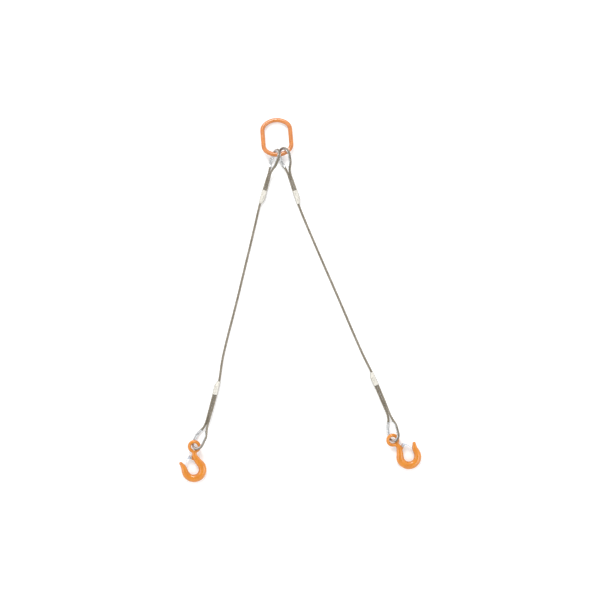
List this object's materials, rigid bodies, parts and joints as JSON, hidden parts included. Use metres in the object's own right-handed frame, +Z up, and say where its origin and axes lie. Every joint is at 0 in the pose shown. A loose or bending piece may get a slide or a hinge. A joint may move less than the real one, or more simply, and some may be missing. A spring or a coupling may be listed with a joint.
{
  "type": "wire rope sling",
  "caption": "Two-leg wire rope lifting sling: an oblong master link, two steel rope legs with thimble eyes and pressed ferrules, and eye hooks with sprung safety latches.",
  "frame": {"origin": "on the ground under the middle of the sling as it lies flat, legs spread", "axes": "+Z up from the ground, +Y from the hooks towards the master link, +X to the right when seen from above with the link at the top"},
  "size_m": [0.6565, 0.9887, 0.0413],
  "materials": {
    "link_paint": "gloss",
    "hook_paint": "gloss",
    "wire_rope": "satin",
    "thimble_zinc": "galvanised",
    "ferrule_aluminium": "satin",
    "latch_zinc": "zinc plated",
    "pin_steel": "zinc plated",
    "spring_steel": "satin"
  },
  "bodies": {
    "master_link": {"master_link": "link_paint"},
    "left_upper_leg": {"left_upper_thimble": "thimble_zinc", "left_upper_ferrule": "ferrule_aluminium", "left_rope_upper": "wire_rope"},
    "left_lower_leg": {"left_rope_lower": "wire_rope", "left_lower_ferrule": "ferrule_aluminium", "left_lower_thimble": "thimble_zinc"},
    "left_hook_body": {"left_hook": "hook_paint", "left_latch_pin": "pin_steel"},
    "left_latch_body": {"left_latch": "latch_zinc", "left_latch_spring": "spring_steel"},
    "right_upper_leg": {"right_upper_thimble": "thimble_zinc", "right_upper_ferrule": "ferrule_aluminium", "right_rope_upper": "wire_rope"},
    "right_lower_leg": {"right_rope_lower": "wire_rope", "right_lower_ferrule": "ferrule_aluminium", "right_lower_thimble": "thimble_zinc"},
    "right_hook_body": {"right_hook": "hook_paint", "right_latch_pin": "pin_steel"},
    "right_latch_body": {"right_latch": "latch_zinc", "right_latch_spring": "spring_steel"}
  },
  "joints": [
    {"name": "left_leg_splay", "type": "hinge", "parent": "master_link", "child": "left_upper_leg", "pos_m": [-0.0587, 0.4037, 0.02641], "axis": [0, 0, 1], "range_deg": [-31, 7]},
    {"name": "left_leg_flex", "type": "hinge", "parent": "left_upper_leg", "child": "left_lower_leg", "pos_m": [-0.1623, 0.0325, 0.00325], "axis": [0, 0, 1], "range_deg": [-35, 35]},
    {"name": "left_hook_swing", "type": "hinge", "parent": "left_lower_leg", "child": "left_hook_body", "pos_m": [-0.2858, -0.3979, 0.0165], "axis": [0, 0.0872, -0.9962], "range_deg": [-40, 60]},
    {"name": "left_latch_swing", "type": "hinge", "parent": "left_hook_body", "child": "left_latch_body", "pos_m": [-0.2953, -0.42739, 0.01392], "axis": [0, 0.0872, -0.9962], "range_deg": [-60, 0], "stiffness_Nm_per_rad": 0.02, "springref_deg": 17.19},
    {"name": "right_leg_splay", "type": "hinge", "parent": "master_link", "child": "right_upper_leg", "pos_m": [-0.04548, 0.40924, 0.02333], "axis": [0, 0, 1], "range_deg": [-15, 16]},
    {"name": "right_leg_flex", "type": "hinge", "parent": "right_upper_leg", "child": "right_lower_leg", "pos_m": [0.084, 0.0518, 0.00325], "axis": [0, 0, 1], "range_deg": [-35, 35]},
    {"name": "right_hook_swing", "type": "hinge", "parent": "right_lower_leg", "child": "right_hook_body", "pos_m": [0.2516, -0.3805, 0.0165], "axis": [0.0591, -0.0641, 0.9962], "range_deg": [-60, 40]},
    {"name": "right_latch_swing", "type": "hinge", "parent": "right_hook_body", "child": "right_latch_body", "pos_m": [0.27858, -0.39573, 0.01392], "axis": [0.0591, -0.0641, 0.9962], "range_deg": [-60, 0], "stiffness_Nm_per_rad": 0.02, "springref_deg": 17.19}
  ]
}
